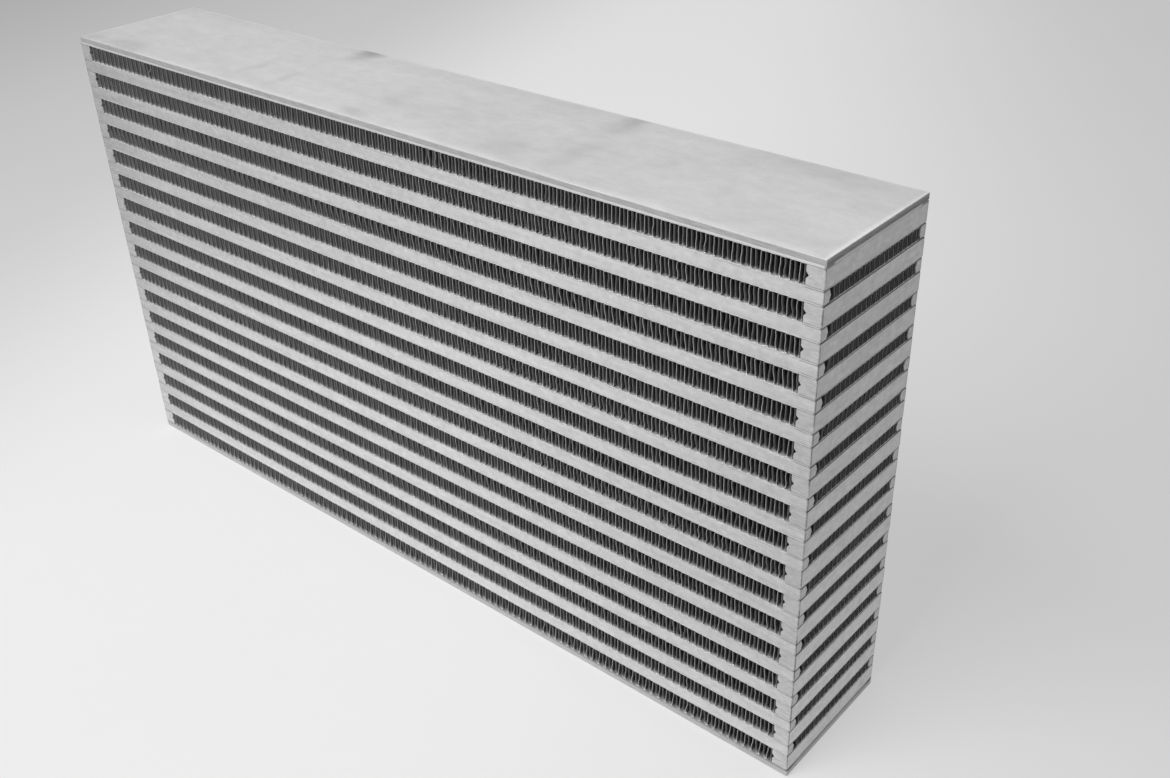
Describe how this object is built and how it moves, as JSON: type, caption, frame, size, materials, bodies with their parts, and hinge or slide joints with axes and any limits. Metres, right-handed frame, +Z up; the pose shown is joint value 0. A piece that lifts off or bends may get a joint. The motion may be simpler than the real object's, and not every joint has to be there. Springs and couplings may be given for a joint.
{
  "type": "bar-and-plate intercooler core",
  "caption": "Brazed aluminium intercooler core: flat stacked layers closed by bars, with folded fins open front to back for cooling air and side to side for charge air.",
  "frame": {"origin": "middle of the underside of the bottom side plate", "axes": "+X from the left tank face to the right one, the way the charge air runs; +Y from the front face to the back face, the way the cooling air runs; +Z up through the stacked layers"},
  "size_m": [0.56, 0.089, 0.3008],
  "materials": {
    "side_plate": "matt rolled and brazed, faintly stained",
    "outer_sheet": "matt, brazed",
    "parting_sheet": "matt, brazed",
    "closing_bar": "matt extruded and brazed",
    "cooling_fin": "matt thin folded strip",
    "charge_fin": "matt thin folded strip"
  },
  "bodies": {
    "root": {"bottom_side_plate": "side_plate", "bottom_outer_sheet": "outer_sheet", "cooling_fin_01": "cooling_fin", "cooling_fin_02": "cooling_fin", "cooling_fin_03": "cooling_fin", "cooling_fin_04": "cooling_fin", "cooling_fin_05": "cooling_fin", "cooling_fin_06": "cooling_fin", "cooling_fin_07": "cooling_fin", "cooling_fin_08": "cooling_fin", "cooling_fin_09": "cooling_fin", "cooling_fin_10": "cooling_fin", "cooling_fin_11": "cooling_fin", "cooling_fin_12": "cooling_fin", "cooling_fin_13": "cooling_fin", "cooling_fin_14": "cooling_fin", "cooling_fin_15": "cooling_fin", "cooling_fin_16": "cooling_fin", "cooling_fin_17": "cooling_fin", "charge_fin_01": "charge_fin", "charge_fin_02": "charge_fin", "charge_fin_03": "charge_fin", "charge_fin_04": "charge_fin", "charge_fin_05": "charge_fin", "charge_fin_06": "charge_fin", "charge_fin_07": "charge_fin", "charge_fin_08": "charge_fin", "charge_fin_09": "charge_fin", "charge_fin_10": "charge_fin", "charge_fin_11": "charge_fin", "charge_fin_12": "charge_fin", "charge_fin_13": "charge_fin", "charge_fin_14": "charge_fin", "charge_fin_15": "charge_fin", "charge_fin_16": "charge_fin", "parting_sheets_01": "parting_sheet", "parting_sheets_02": "parting_sheet", "parting_sheets_03": "parting_sheet", "parting_sheets_04": "parting_sheet", "parting_sheets_05": "parting_sheet", "parting_sheets_06": "parting_sheet", "parting_sheets_07": "parting_sheet", "parting_sheets_08": "parting_sheet", "parting_sheets_09": "parting_sheet", "parting_sheets_10": "parting_sheet", "parting_sheets_11": "parting_sheet", "parting_sheets_12": "parting_sheet", "parting_sheets_13": "parting_sheet", "parting_sheets_14": "parting_sheet", "parting_sheets_15": "parting_sheet", "parting_sheets_16": "parting_sheet", "cooling_bars_left": "closing_bar", "cooling_bars_right": "closing_bar", "charge_bars_front": "closing_bar", "charge_bars_back": "closing_bar", "top_outer_sheet": "outer_sheet", "top_side_plate": "side_plate"}
  },
  "joints": []
}
